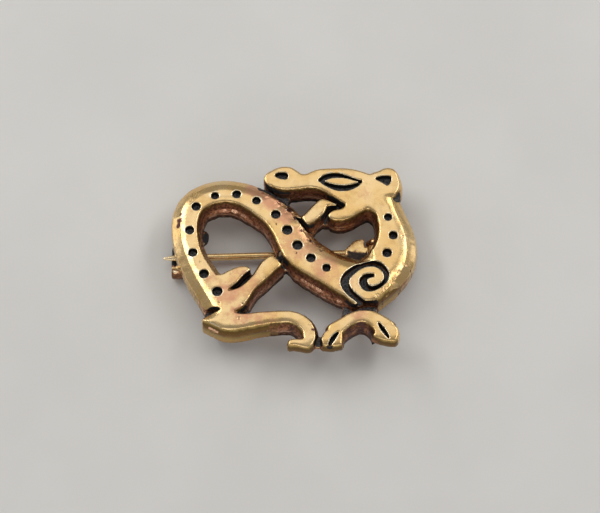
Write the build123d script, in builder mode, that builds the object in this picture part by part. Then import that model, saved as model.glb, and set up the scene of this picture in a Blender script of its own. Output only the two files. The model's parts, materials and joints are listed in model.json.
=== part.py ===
"""A cast dragon brooch lying face up, with its pin closed in the catch.

The casting is drawn on the plane of its flat back: x across, y up the dragon, heights from the
back to the polished face. It lies level on the hinge and the catch behind it.
"""

import os
from collections import namedtuple
from math import atan2, cos, hypot, sin

from build123d import *

# Casting, in millimetres
casting_width = 40.0
casting_length = 34.0
half_band = 2.0
thickness = 4.2
shoulder_drop = 1.2
shoulder_share = 0.85
wide_flare = 1.4
narrow_flare = 0.6
foot_flare = 0.2
web_height = 1.9
foot_lift = 1.9
foot_web_height = 0.9

# Ornament
dot_size = 1.5
dot_depth = 1.1
groove_depth = 1.5
recess_depth = 1.1
slit_depth = 1.3
notch_depth = 2.4
channel_depth = 2.35

# Catch behind the left edge
catch_strip = 0.8
catch_gap = 1.4
catch_width = 2.2
catch_overhang = 1.0
catch_reach = 2.9
catch_bend = 2.2
pad_length = 5.3
pad_depth = 2.6
solder = 0.3

# Hinge and pin
pin_size = 1.2
pin_overhang = 2.3
pin_point = 1.4
point_size = 0.4
tapered_size = 0.95
taper_start = 0.7
bar_size = 1.2
running_gap = 0.05
side_gap = 0.1
eye_wall = 0.55
eye_length = 2.0
lug_thickness = 0.9
leaf_length = 4.8
leaf_half_width = 2.35
leaf_thickness = 0.8

# The drawing has forty squares across and thirty-four up, with its origin in the middle
square_x = casting_width / 40
square_y = casting_length / 34

# Levels and places that follow from the sizes above
stand_off = 2 * catch_strip + catch_gap
pin_drop = catch_strip + catch_gap / 2
hinge_x, hinge_y = 12.4 * square_x, 3.6 * square_y
point_y = 2.5 * square_y
left_edge = -20.4 * square_x
plate = Plane.XY

# A stroke of the drawing is a row of stations. Squares place each one, and the face's width on
# the left and on the right of the way it runs is a share of half_band. A dot is a share of
# dot_size, and flare and inner are the shares of the left and the right wall's flare there.
Station = namedtuple("Station", "x y left right dot flare inner", defaults=[0, 1, 1])

body = [
    Station(-11.8, -9.9, 0.90, 1.10),
    Station(-13.5, -6.3, 0.88, 0.75, 1.10, 1, 1.40),
    Station(-15.7, -3.1, 0.70, 0.72, 1.07, 1, 2.00),
    Station(-17.6, 0.85, 0.62, 0.63, 1.00, 1, 1.80),
    Station(-18.2, 5.0, 0.80, 0.60, 1.00, 1, 1.40),
    Station(-17.2, 9.4, 1.02, 0.60, 1.00, 1, 1.15),
    Station(-14.1, 11.4, 1.02, 0.65, 0.90),
    Station(-10.5, 11.7, 0.86, 0.80, 0.97),
    Station(-7.2, 10.5, 0.84, 1.05, 0.93),
    Station(-4.0, 7.9, 0.97, 1.15, 1.07),
    Station(-2.1, 5.0, 1.20, 1.20, 1.13),
    Station(-0.4, 2.2, 1.05, 1.45, 1.13),
    Station(1.8, -0.15, 1.17, 1.40, 1.03),
    Station(4.35, -2.0, 1.25, 1.30, 0.93),
    Station(7.3, -3.7, 1.55, 1.42),
    Station(10.0, -4.9, 1.70, 1.50),
]
neck = [
    Station(14.0, 10.6, 0.60, 1.30),
    Station(14.55, 7.4, 0.75, 0.85, 0.87, 1.30),
    Station(15.35, 4.0, 0.95, 1.20, 1.00, 1.40),
    Station(14.3, 0.75, 1.60, 1.20, 1.00, 1.15),
    Station(12.6, -2.6, 1.68, 1.60, 0, 0.80),
    Station(10.6, -5.6, 1.42, 1.30, 0, 0.50),
    Station(9.4, -7.6, 1.00, 0.65, 0, 0.50),
]
thigh = [
    Station(-13.8, -5.2, 1.00, 0.80),
    Station(-12.1, -4.35, 0.70, 0.72),
    Station(-10.9, -3.6, 0.65, 0.62),
    Station(-9.7, -2.7, 0.52, 0.42),
    Station(-8.75, -2.3, 0.30, 0.25),
    Station(-8.3, -2.3, 0.14, 0.12),
]
lower_tail = [
    Station(-12.6, -8.6, 0.80, 0.80),
    Station(-10.7, -7.4, 0.72, 1.02),
    Station(-9.25, -6.6, 0.60, 0.65),
    Station(-8.1, -5.25, 0.43, 0.43),
    Station(-6.7, -3.7, 0.46, 0.48),
    Station(-5.25, -1.8, 0.62, 0.62),
    Station(-3.7, -0.45, 0.57, 0.55),
]
belly_strip = [
    Station(6.6, -6.0, 0.10, 0.12),
    Station(7.85, -7.25, 0.10, 0.11),
    Station(8.95, -8.25, 0.09, 0.09),
    Station(10.2, -8.8, 0.03, 0.03),
]
upper_tail = [
    Station(0.75, 6.7, 0.42, 0.42),
    Station(1.7, 7.45, 0.48, 0.48),
    Station(2.6, 8.35, 0.52, 0.52),
    Station(3.5, 9.35, 0.52, 0.48),
    Station(4.2, 10.1, 0.42, 0.30),
    Station(5.2, 10.05, 0.15, 0.20),
    Station(6.1, 9.8, 0.06, 0.06),
]
hind_leg = [
    Station(-15.8, -11.1, 0.15, 0.15),
    Station(-14.5, -11.05, 0.50, 0.50),
    Station(-12.6, -11.1, 0.95, 0.88),
    Station(-10.5, -11.6, 0.70, 0.75),
    Station(-8.0, -11.4, 0.58, 0.58),
    Station(-5.5, -11.0, 0.52, 0.52),
    Station(-3.0, -10.8, 0.50, 0.50),
    Station(-1.1, -11.0, 0.51, 0.46),
    Station(0.35, -11.9, 0.56, 0.46),
    Station(1.25, -13.1, 0.52, 0.42),
    Station(1.55, -14.5, 0.46, 0.45),
]
hind_foot = [
    Station(1.45, -13.6, 0.44, 0.44),
    Station(1.45, -14.6, 0.50, 0.48),
    Station(0.95, -15.25, 0.60, 0.36),
    Station(-0.3, -15.4, 0.32, 0.30),
    Station(-1.6, -15.6, 0.22, 0.24),
]
front_legs = [
    Station(5.6, -13.6, 0.70, 0.66),
    Station(6.1, -12.9, 0.62, 0.53),
    Station(7.0, -12.15, 0.52, 0.46),
    Station(8.5, -11.15, 0.48, 0.43),
    Station(10.0, -10.7, 0.50, 0.46),
    Station(11.6, -10.95, 0.56, 0.60),
    Station(13.0, -12.0, 0.70, 0.73),
    Station(13.6, -13.0, 0.95, 0.83),
]
left_foot = [
    Station(5.25, -15.8, 0.80, 0.75),
    Station(5.2, -14.6, 0.80, 0.85),
    Station(5.7, -13.5, 0.60, 0.62),
]
right_foot = [
    Station(13.5, -12.6, 0.80, 0.80),
    Station(13.8, -13.5, 1.05, 0.98),
    Station(13.85, -14.2, 1.02, 1.02),
    Station(13.7, -14.75, 0.85, 0.95),
]
head = [
    Station(-4.75, 14.65, 0.70, 0.68),
    Station(-3.1, 14.75, 1.03, 1.02),
    Station(-1.4, 14.6, 0.98, 0.98),
    Station(0.4, 14.25, 0.60, 0.65),
    Station(2.3, 14.5, 0.80, 0.75),
    Station(4.6, 14.4, 1.08, 1.10),
    Station(7.0, 13.9, 1.38, 1.60),
    Station(9.3, 13.2, 1.45, 1.80),
    Station(11.3, 12.3, 1.45, 1.60),
    Station(13.0, 11.0, 1.30, 1.30),
    Station(14.2, 9.6, 0.60, 1.10),
]
jaw = [
    Station(5.0, 7.75, 0.22, 0.24),
    Station(6.0, 7.85, 0.46, 0.48),
    Station(7.4, 8.1, 0.54, 0.52),
    Station(8.6, 9.0, 0.62, 0.62),
    Station(10.2, 10.3, 0.80, 0.80),
]
ear = [
    Station(14.0, 11.2, 1.50, 0.55),
    Station(14.2, 12.6, 1.50, 1.00),
    Station(14.4, 14.0, 1.45, 1.08),
    Station(14.6, 15.2, 1.40, 0.85),
    Station(14.65, 16.0, 0.98, 0.62),
    Station(14.6, 16.5, 0.55, 0.42),
]

# Low dark webs that tie the strokes together behind the face
snout_web = [
    Station(-6.0, 12.7, 0.40, 0.50),
    Station(-4.4, 12.2, 0.70, 0.80),
    Station(-1.9, 11.2, 1.00, 1.30),
]
tail_root_web = [
    Station(-0.2, 5.2, 0.50, 0.60),
    Station(1.1, 6.5, 0.55, 0.75),
    Station(2.4, 8.0, 0.40, 0.50),
]
mouth_web = [
    Station(2.9, 8.2, 0.45, 0.60),
    Station(4.6, 9.4, 1.00, 1.05),
    Station(6.4, 9.9, 0.90, 0.80),
    Station(8.6, 9.9, 0.50, 0.50),
]
crossing_web = [
    Station(-4.6, -1.3, 0.50, 0.50),
    Station(-3.1, -0.2, 0.65, 0.65),
    Station(-1.6, 1.0, 0.75, 0.75),
]
slit_web = [
    Station(-11.4, -5.8, 0.35, 0.35),
    Station(-9.6, -4.4, 0.45, 0.50),
    Station(-7.3, -2.7, 0.40, 0.50),
]
knee_web = [
    Station(-11.2, -9.0, 0.80, 0.80),
    Station(-9.4, -9.3, 0.50, 0.55),
    Station(-8.2, -9.7, 0.25, 0.35),
]
chest_web = [
    Station(9.9, -7.4, 1.00, 1.10),
    Station(9.8, -9.2, 1.35, 1.45),
    Station(9.6, -11.0, 1.00, 1.40),
]
foot_web = [
    Station(1.4, -14.7, 0.40, 0.40),
    Station(3.0, -14.8, 0.45, 0.45),
    Station(4.8, -14.7, 0.40, 0.40),
]

# Grooves and recesses in the face
spiral_groove = [
    Station(10.9, -9.3, 0.28, 0.28),
    Station(9.65, -7.9, 0.26, 0.26),
    Station(8.55, -6.9, 0.28, 0.28),
    Station(7.65, -5.8, 0.31, 0.31),
    Station(7.3, -4.6, 0.35, 0.35),
    Station(7.6, -3.6, 0.33, 0.33),
    Station(8.5, -2.6, 0.30, 0.30),
    Station(9.5, -1.8, 0.29, 0.29),
    Station(11.2, -1.2, 0.27, 0.27),
    Station(12.7, -1.4, 0.27, 0.27),
    Station(13.6, -2.1, 0.25, 0.25),
    Station(14.15, -3.2, 0.22, 0.22),
    Station(14.0, -4.2, 0.17, 0.17),
    Station(13.1, -5.2, 0.15, 0.15),
    Station(12.0, -5.75, 0.20, 0.20),
    Station(11.1, -5.75, 0.27, 0.27),
    Station(10.5, -5.2, 0.32, 0.32),
    Station(10.3, -4.4, 0.32, 0.32),
    Station(10.7, -3.7, 0.25, 0.25),
    Station(11.5, -3.4, 0.20, 0.20),
    Station(12.2, -3.4, 0.13, 0.13),
]
eye_rim = [
    Station(2.97, 14.3, 0, 0),
    Station(4.85, 14.35, 0.62, 0.70),
    Station(7.2, 13.95, 0.72, 0.85),
    Station(9.2, 13.8, 0.42, 0.45),
    Station(10.45, 14.28, 0, 0),
]
eye_ball = [
    Station(4.0, 14.12, 0, 0),
    Station(5.05, 14.15, 0.26, 0.24),
    Station(6.9, 14.05, 0.36, 0.35),
    Station(8.8, 13.95, 0.18, 0.18),
    Station(9.84, 14.0, 0, 0),
]
nostril = [
    Station(-4.0, 15.25, 0.14, 0.14),
    Station(-3.1, 15.2, 0.32, 0.32),
    Station(-2.2, 15.0, 0.28, 0.28),
]
ear_hollow = [
    Station(12.5, 14.6, 0.03, 0.03),
    Station(13.7, 14.5, 0.34, 0.28),
    Station(14.8, 14.1, 0.50, 0.45),
]
left_toe_slit = [
    Station(6.35, -13.45, 0.03, 0.03),
    Station(5.75, -14.2, 0.16, 0.16),
    Station(4.7, -16.0, 0.10, 0.10),
]
right_toe_slit = [
    Station(12.6, -11.8, 0.04, 0.04),
    Station(13.4, -13.1, 0.14, 0.16),
    Station(14.45, -14.8, 0.06, 0.06),
]
heel_notch = [
    Station(-12.8, -9.5, 0.02, 0.02),
    Station(-14.0, -9.45, 0.26, 0.26),
    Station(-15.4, -9.8, 0.42, 0.35),
    Station(-18.6, -10.9, 0.60, 0.50),
]

# Dark channels down to the webs
upper_mouth = [
    Station(3.3, 11.5, 0.15, 0.15),
    Station(4.3, 11.1, 0.17, 0.17),
    Station(5.4, 10.6, 0.18, 0.18),
    Station(6.4, 10.0, 0.17, 0.17),
    Station(7.1, 9.6, 0.11, 0.11),
    Station(7.5, 9.4, 0.03, 0.03),
]
lower_mouth = [
    Station(7.3, 9.45, 0.04, 0.04),
    Station(6.6, 9.2, 0.14, 0.14),
    Station(5.6, 9.15, 0.19, 0.19),
    Station(4.85, 8.8, 0.19, 0.19),
    Station(4.4, 8.1, 0.18, 0.18),
    Station(4.1, 7.3, 0.18, 0.18),
    Station(3.9, 6.4, 0.18, 0.18),
]
tail_root_channel = [
    Station(-0.6, 7.65, 0.12, 0.12),
    Station(-0.05, 6.98, 0.17, 0.17),
    Station(0.4, 6.38, 0.18, 0.18),
    Station(0.95, 5.73, 0.17, 0.17),
    Station(1.6, 5.0, 0.13, 0.13),
]
chest_channel = [
    Station(7.2, -9.75, 0.12, 0.12),
    Station(8.6, -9.35, 0.22, 0.26),
    Station(10.0, -8.95, 0.36, 0.36),
    Station(11.4, -8.8, 0.42, 0.45),
    Station(12.8, -8.95, 0.42, 0.50),
    Station(14.4, -9.4, 0.42, 0.60),
]


def stroke_edges(stations, left_grow, right_grow, end_grow):
    """Return the left points, the right points and the two end directions of a stroke."""
    centres = [(row.x * square_x, row.y * square_y) for row in stations]
    last = len(centres) - 1
    left, right, ways = [], [], []
    for number, (row, (x, y)) in enumerate(zip(stations, centres)):
        before = centres[max(number - 1, 0)]
        after = centres[min(number + 1, last)]
        run = hypot(after[0] - before[0], after[1] - before[1])
        way_x, way_y = (after[0] - before[0]) / run, (after[1] - before[1]) / run
        push = {0: -end_grow, last: end_grow}.get(number, 0)
        x, y = x + way_x * push, y + way_y * push
        to_left = row.left * half_band + row.flare * left_grow
        to_right = row.right * half_band + row.inner * right_grow
        left.append((x - way_y * to_left, y + way_x * to_left))
        right.append((x + way_y * to_right, y - way_x * to_right))
        ways.append((way_x, way_y))
    return left, right, ways


def stroke_face(height, stations, left_grow=0, right_grow=0, end_grow=0, caps=(0, 0)):
    """Return a stroke's face at a height over the back; caps are how far its ends bulge."""
    left, right, ways = stroke_edges(stations, left_grow, right_grow, end_grow)
    ends = ((left[0], right[0], ways[0], -caps[0]), (left[-1], right[-1], ways[-1], caps[1]))
    with BuildSketch(plate.offset(height)) as outline:
        with BuildLine():
            Spline(*left)
            Spline(*right)
            for a, b, way, bulge in ends:
                if hypot(a[0] - b[0], a[1] - b[1]) < 1e-6:
                    continue
                if bulge:
                    middle_x = (a[0] + b[0]) / 2 + way[0] * bulge
                    middle_y = (a[1] + b[1]) / 2 + way[1] * bulge
                    ThreePointArc(a, (middle_x, middle_y), b)
                else:
                    Line(a, b)
        make_face()
    return outline.sketch


def raise_stroke(stations, left_flare, right_flare, caps=(0, 0), foot=0, end_flare=0):
    """Add a stroke with rounded shoulders and flaring walls to the active part."""
    sections = []
    for height, share in ((foot, 1), (thickness - shoulder_drop, shoulder_share), (thickness, 0)):
        grow = (left_flare * share, right_flare * share, end_flare * share)
        sections.append(stroke_face(height, stations, *grow, caps))
    loft(sections, ruled=True)


def raise_web(stations, foot=0, height=web_height):
    """Add a low web to the active part."""
    extrude(stroke_face(foot, stations), amount=height)


def sink_stroke(stations, depth, caps=(0, 0)):
    """Cut a stroke into the face of the active part."""
    bottom = stroke_face(thickness - depth, stations, caps=caps)
    extrude(bottom, amount=depth + shoulder_drop, mode=Mode.SUBTRACT)


def hinge_plane(offset):
    """Return a plane across the hinge bar, shifted along it, that faces down the plate."""
    centre = plate.from_local_coords((hinge_x, hinge_y + offset, -pin_drop))
    return Plane(origin=centre, x_dir=plate.x_dir, z_dir=-plate.y_dir)


cap = 0.35 * half_band

with BuildPart() as casting:
    raise_stroke(body, wide_flare, narrow_flare)
    raise_stroke(neck, wide_flare, narrow_flare, caps=(0, cap), end_flare=narrow_flare)
    raise_stroke(thigh, narrow_flare, 0, caps=(0, 0.1 * half_band))
    raise_stroke(lower_tail, narrow_flare, narrow_flare)
    raise_stroke(belly_strip, foot_flare, narrow_flare)
    raise_stroke(upper_tail, narrow_flare, narrow_flare, caps=(0.1 * half_band, 0.02 * half_band))
    raise_stroke(hind_leg, narrow_flare, narrow_flare, caps=(0.1 * half_band, 0))
    raise_stroke(hind_foot, foot_flare, foot_flare, (0, 0.5 * cap), foot_lift, foot_flare)
    raise_stroke(front_legs, narrow_flare, narrow_flare)
    raise_stroke(left_foot, foot_flare, foot_flare, (0.4 * cap, 0), foot_lift, foot_flare)
    raise_stroke(right_foot, foot_flare, foot_flare, (0, 0.4 * cap), foot_lift, foot_flare)
    raise_stroke(head, narrow_flare, narrow_flare, caps=(0.62 * half_band, 0))
    raise_stroke(jaw, narrow_flare, narrow_flare, caps=(0.2 * half_band, 0))
    raise_stroke(ear, narrow_flare, narrow_flare, caps=(0, 0.15 * half_band))
    for web in (snout_web, tail_root_web, mouth_web, crossing_web, slit_web, knee_web, chest_web):
        raise_web(web)
    raise_web(foot_web, foot_lift, foot_web_height)

    for row in body + neck:
        if row.dot:
            with BuildSketch(plate.offset(thickness - dot_depth)):
                with Locations((row.x * square_x, row.y * square_y)):
                    Circle(row.dot * dot_size / 2)
            extrude(amount=dot_depth + shoulder_drop, mode=Mode.SUBTRACT)

    sink_stroke(spiral_groove, groove_depth)
    sink_stroke(eye_rim, recess_depth)
    extrude(stroke_face(thickness - recess_depth, eye_ball), amount=recess_depth)
    sink_stroke(nostril, recess_depth, caps=(0.1 * half_band, 0.12 * half_band))
    sink_stroke(ear_hollow, recess_depth, caps=(0, 0.14 * half_band))
    sink_stroke(left_toe_slit, slit_depth)
    sink_stroke(right_toe_slit, slit_depth)
    sink_stroke(heel_notch, notch_depth)
    for channel in (upper_mouth, lower_mouth, tail_root_channel, chest_channel):
        sink_stroke(channel, channel_depth)

    # The catch is a strip bent to a sideways U whose mouth faces up the plate
    catch_left = left_edge - catch_overhang
    across_catch = Plane(
        origin=plate.from_local_coords((catch_left, point_y, -pin_drop)),
        x_dir=plate.y_dir,
        z_dir=plate.x_dir,
    )
    with BuildSketch(across_catch):
        with Locations((-catch_bend, 0)):
            Circle(stand_off / 2)
            Rectangle(catch_bend + catch_reach, stand_off, align=(Align.MIN, Align.CENTER))
            Circle(catch_gap / 2, mode=Mode.SUBTRACT)
            Rectangle(
                2 * (catch_bend + catch_reach),
                catch_gap,
                align=(Align.MIN, Align.CENTER),
                mode=Mode.SUBTRACT,
            )
    extrude(amount=catch_width)

    # Its upper arm ends under the left edge, where a pad with a round end is soldered on
    with BuildSketch(plate.offset(-pin_drop)):
        with Locations((left_edge, point_y - catch_bend)):
            Rectangle(catch_overhang, catch_bend + catch_reach, align=(Align.MAX, Align.MIN))
    extrude(amount=pin_drop, mode=Mode.SUBTRACT)
    with BuildSketch(plate.offset(-catch_strip)):
        with Locations((left_edge, point_y - 0.5 * catch_bend)):
            Rectangle(
                catch_width - catch_overhang,
                catch_bend + catch_reach,
                align=(Align.MIN, Align.MIN),
            )
        with Locations((left_edge, point_y + catch_reach)):
            Rectangle(
                pad_length - pad_depth / 2, pad_depth, align=(Align.MIN, Align.CENTER)
            )
        with Locations((left_edge + pad_length - pad_depth / 2, point_y + catch_reach)):
            Circle(pad_depth / 2)
    extrude(amount=catch_strip + solder)

    # Two round lugs carry the hinge bar, each soldered on along its right half
    lug_near = eye_length / 2 + side_gap
    for start in (lug_near + lug_thickness, -lug_near):
        with BuildSketch(hinge_plane(start)):
            Circle(stand_off - pin_drop)
            Rectangle(stand_off - pin_drop, pin_drop + solder, align=(Align.MIN, Align.MIN))
        extrude(amount=lug_thickness)
    with BuildSketch(hinge_plane(lug_near + lug_thickness / 2)):
        Circle(bar_size / 2)
    extrude(amount=2 * lug_near + lug_thickness)

eye_bore = bar_size / 2 + running_gap
eye_radius = eye_bore + eye_wall
tip_x = left_edge - pin_overhang
pin_length = hypot(hinge_x - tip_x, hinge_y - point_y)
pin_turn = atan2(hinge_y - point_y, hinge_x - tip_x)
shank_end_x = catch_left + catch_width + taper_start
shank_length = (hinge_x - shank_end_x) / cos(pin_turn) - leaf_length
bar_centre = plate.from_local_coords((hinge_x, hinge_y, -pin_drop))
wire_way = plate.x_dir * -cos(pin_turn) + plate.y_dir * -sin(pin_turn)
leaf_plane = Plane(origin=bar_centre, x_dir=plate.x_dir, z_dir=plate.z_dir)
wire_plane = Plane(origin=bar_centre, x_dir=plate.z_dir, z_dir=wire_way)

# The leaf of the pin's head: distance from the bar and half width, as shares of the leaf's sizes
Leaf = namedtuple("Leaf", "along half")
leaf = [
    Leaf(0.35, 0.95),
    Leaf(0.43, 1.00),
    Leaf(0.62, 0.94),
    Leaf(0.75, 0.77),
    Leaf(0.85, 0.55),
    Leaf(0.93, 0.36),
    Leaf(1.00, 0.26),
]
leaf_shoulder = leaf[0].along * leaf_length

with BuildPart() as pin:
    with BuildSketch(hinge_plane(eye_length / 2)):
        Circle(eye_radius)
    extrude(amount=eye_length)
    with BuildSketch(leaf_plane.offset(-leaf_thickness / 2)):
        with BuildLine():
            far_side = Spline(
                *[(-row.along * leaf_length, row.half * leaf_half_width) for row in leaf]
            )
            near_side = Spline(
                *[(-row.along * leaf_length, -row.half * leaf_half_width) for row in leaf]
            )
            Line(far_side @ 0, near_side @ 0)
            Line(far_side @ 1, near_side @ 1)
        make_face()
        Rectangle(leaf_shoulder, eye_length, align=(Align.MAX, Align.CENTER))
    extrude(amount=leaf_thickness)
    with BuildSketch(wire_plane.offset(leaf_length)):
        Circle(pin_size / 2)
    extrude(amount=shank_length)
    with BuildSketch(wire_plane.offset(leaf_length + shank_length)):
        Circle(pin_size / 2)
    with BuildSketch(wire_plane.offset(pin_length - pin_point)):
        Circle(tapered_size / 2)
    with BuildSketch(wire_plane.offset(pin_length)):
        Circle(point_size / 2)
    loft(ruled=True)
    with BuildSketch(hinge_plane(eye_length / 2 + side_gap)):
        Circle(eye_bore)
    extrude(amount=eye_length + 2 * side_gap, mode=Mode.SUBTRACT)

# Stand the brooch on the floor with its middle over the origin
whole = casting.part.bounding_box().add(pin.part.bounding_box())
home = Location((-whole.center().X, -whole.center().Y, -whole.min.Z))
casting.part.locate(home)
pin.part.locate(home)

casting.part.label = "dragon_casting"
pin.part.label = "pin"
os.makedirs("parts", exist_ok=True)
export_step(pin.part, "parts/pin.step")
export_step(casting.part, "parts/dragon_casting.step")
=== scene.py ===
"""The looks of a cast dragon brooch: worn and patinated brass, with its drawn wire pin.

Both pieces are shaped on the drawing of the casting, in millimetres: x across the dragon, y up the
dragon and heights from its flat back. At the end they are brought to the frame, in metres.
"""

import json
import math

import bpy
import numpy as np
from mathutils import Matrix, Quaternion, Vector
from mathutils.bvhtree import BVHTree


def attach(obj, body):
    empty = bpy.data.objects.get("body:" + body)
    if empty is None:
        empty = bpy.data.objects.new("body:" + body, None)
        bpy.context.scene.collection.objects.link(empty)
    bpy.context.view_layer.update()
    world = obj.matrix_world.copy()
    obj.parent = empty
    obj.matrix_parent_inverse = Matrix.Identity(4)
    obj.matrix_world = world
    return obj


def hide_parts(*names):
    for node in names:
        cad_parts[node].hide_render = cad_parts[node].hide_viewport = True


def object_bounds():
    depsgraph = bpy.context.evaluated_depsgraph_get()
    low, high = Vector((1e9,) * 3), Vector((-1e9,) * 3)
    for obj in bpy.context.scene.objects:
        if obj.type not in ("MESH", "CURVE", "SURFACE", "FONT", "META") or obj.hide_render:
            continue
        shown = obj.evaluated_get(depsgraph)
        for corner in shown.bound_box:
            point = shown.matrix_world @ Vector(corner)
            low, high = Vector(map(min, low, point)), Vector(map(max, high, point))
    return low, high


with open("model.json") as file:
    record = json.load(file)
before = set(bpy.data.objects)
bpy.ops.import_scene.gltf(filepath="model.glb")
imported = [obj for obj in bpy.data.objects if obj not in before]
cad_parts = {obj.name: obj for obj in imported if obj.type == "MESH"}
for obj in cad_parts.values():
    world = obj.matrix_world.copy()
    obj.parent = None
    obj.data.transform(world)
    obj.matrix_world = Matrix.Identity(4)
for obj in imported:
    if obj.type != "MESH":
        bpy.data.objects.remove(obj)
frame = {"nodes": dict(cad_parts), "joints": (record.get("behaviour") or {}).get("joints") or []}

cad_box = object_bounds()
MM = 0.001
SEED = 7

# The drawing's origin in the frame. The hinge stands at a known place in the drawing.
HINGE_IN_DRAWING = np.array([12.4, 3.6, -1.5])
ORIGIN = np.array(frame["joints"][0]["pos_m"]) / MM - HINGE_IN_DRAWING

# Heights of the polished face and of the low webs between the strokes
FACE = 4.2
WEB_HEIGHT = 1.9

# Fineness of the remeshed pieces, and the rounds of smoothing that take off their steps
CASTING_VOXEL = 0.13
CASTING_TRIANGLES = 190000
PIN_VOXEL = 0.07
PIN_TRIANGLES = 60000
STEP_ROUNDS = 3


# Meshes

def with_modifier(mesh, kind, **settings):
    """Return a new mesh: the given one after a modifier."""
    holder = bpy.data.objects.new("holder", mesh)
    bpy.context.scene.collection.objects.link(holder)
    modifier = holder.modifiers.new(kind, kind)
    for key, value in settings.items():
        setattr(modifier, key, value)
    graph = bpy.context.evaluated_depsgraph_get()
    made = bpy.data.meshes.new_from_object(holder.evaluated_get(graph))
    bpy.data.objects.remove(holder)
    return made


def drawn_mesh(node):
    """Return a copy of a node's mesh, in millimetres on the drawing."""
    mesh = frame["nodes"][node].data.copy()
    mesh.transform(Matrix.Scale(1 / MM, 4))
    mesh.transform(Matrix.Translation(-Vector(ORIGIN)))
    mesh.materials.clear()
    return mesh


def remeshed(mesh, voxel):
    return with_modifier(mesh, "REMESH", mode="VOXEL", voxel_size=voxel)


def lightened(mesh, triangles):
    """Return the mesh with about this many triangles. Its faces have four corners before."""
    return with_modifier(mesh, "DECIMATE", ratio=min(1.0, triangles / (2 * len(mesh.polygons))))


def points_of(mesh):
    co = np.zeros(len(mesh.vertices) * 3)
    mesh.vertices.foreach_get("co", co)
    return co.reshape(-1, 3)


def normals_of(mesh):
    co = np.zeros(len(mesh.vertices) * 3)
    mesh.vertex_normals.foreach_get("vector", co)
    return co.reshape(-1, 3)


def edges_of(mesh):
    pairs = np.zeros(len(mesh.edges) * 2, int)
    mesh.edges.foreach_get("vertices", pairs)
    return pairs.reshape(-1, 2)


def mean_around(values, pairs):
    """Return each vertex's mean over its neighbours."""
    count = len(values)
    total = np.zeros(values.shape)
    for axis in range(values.shape[1]):
        total[:, axis] = np.bincount(pairs[:, 0], values[pairs[:, 1], axis], count)
        total[:, axis] += np.bincount(pairs[:, 1], values[pairs[:, 0], axis], count)
    degree = np.bincount(pairs.ravel(), minlength=count)
    return total / np.maximum(degree, 1)[:, None]


def smoothed(values, pairs, rounds):
    """Return the vertices' values after some rounds of going halfway to their neighbours' mean."""
    flat = values.ndim == 1
    values = values[:, None] if flat else values
    for _ in range(rounds):
        values = values + 0.5 * (mean_around(values, pairs) - values)
    return values[:, 0] if flat else values


def proud_of_neighbours(points, normals, pairs):
    """Return how far each vertex stands proud of its neighbours, in shares of an edge."""
    ahead = points - mean_around(points, pairs)
    length = np.linalg.norm(points[pairs[:, 0]] - points[pairs[:, 1]], axis=1).mean()
    return (ahead * normals).sum(1) / length


def capped(move, most):
    """Return the moves, none of them longer than a length."""
    length = np.linalg.norm(move, axis=1)
    return move * (np.minimum(length, most) / np.maximum(length, 1e-9))[:, None]


def write_points(mesh, points):
    mesh.vertices.foreach_set("co", points.ravel())
    mesh.update()


def write_mask(mesh, name, values):
    layer = mesh.attributes.new(name, "FLOAT", "POINT")
    layer.data.foreach_set("value", np.clip(values, 0, 1).astype(np.float32))


# Shares from 0 to 1

# A patch is full up to the first share of its radius and gone at the second
PATCH_FADE = (0.3, 1.3)
# Shares of the wave length between which a field's waves vary
WAVE_LENGTHS = (0.7, 1.4)


def rising(low, high, value):
    """Return 0 below a span and 1 above it, with a smooth step between."""
    t = np.clip((value - low) / (high - low), 0, 1)
    return t * t * (3 - 2 * t)


def falling(low, high, value):
    return 1 - rising(low, high, value)


def waves(points, length, count, seed):
    """Return a smooth random field over the points, about -1 to 1, of one wave length."""
    rng = np.random.default_rng(seed)
    total = np.zeros(len(points))
    for _ in range(count):
        way = rng.normal(size=3)
        way *= 2 * math.pi / (length * rng.uniform(*WAVE_LENGTHS) * np.linalg.norm(way))
        total += np.sin(points @ way + rng.uniform(0, 2 * math.pi))
    return total / math.sqrt(count)


def patches(table, points):
    """Return the strength of a table's patches at the points, fading out round each one."""
    total = np.zeros(len(points))
    for x, y, radius, strength in table:
        away = np.hypot(points[:, 0] - x, points[:, 1] - y) / radius
        total = np.maximum(total, strength * falling(*PATCH_FADE, away))
    return total


# The relief seen from above, as a grid of heights

GRID = 0.1
GRID_LEFT = -24.0
GRID_NEAR = -20.0
GRID_COLUMNS = 480
GRID_ROWS = 400
OUTSIDE = -5.0
RAY_START = 9.0
RAY_LENGTH = 9.2

# Each point, taken just off the surface, looks round itself this many ways and this far out.
# A way is blocked where something beyond the point's own edge stands about level with it or higher.
JUST_OFF = 0.05
LOOKS_ROUND = 20
LOOKS_OUT = (0.2, 0.35, 0.5, 0.75, 1.0, 1.4, 1.9, 2.5, 3.3, 4.3, 5.6, 7.2, 9.0, 11.0)
OWN_EDGE = 0.4
LEVEL_WITH = -0.2

# Slopes and heights of the wide outer shoulders and of the level floors
SHOULDER_SLOPES = (0.62, 1.10)
SHOULDER_HEIGHTS = (FACE - 1.15, FACE - 0.15)
FLOOR_SLOPE = 0.3
FLOOR_HEIGHTS = (0.5, FACE - 0.85)


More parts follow.
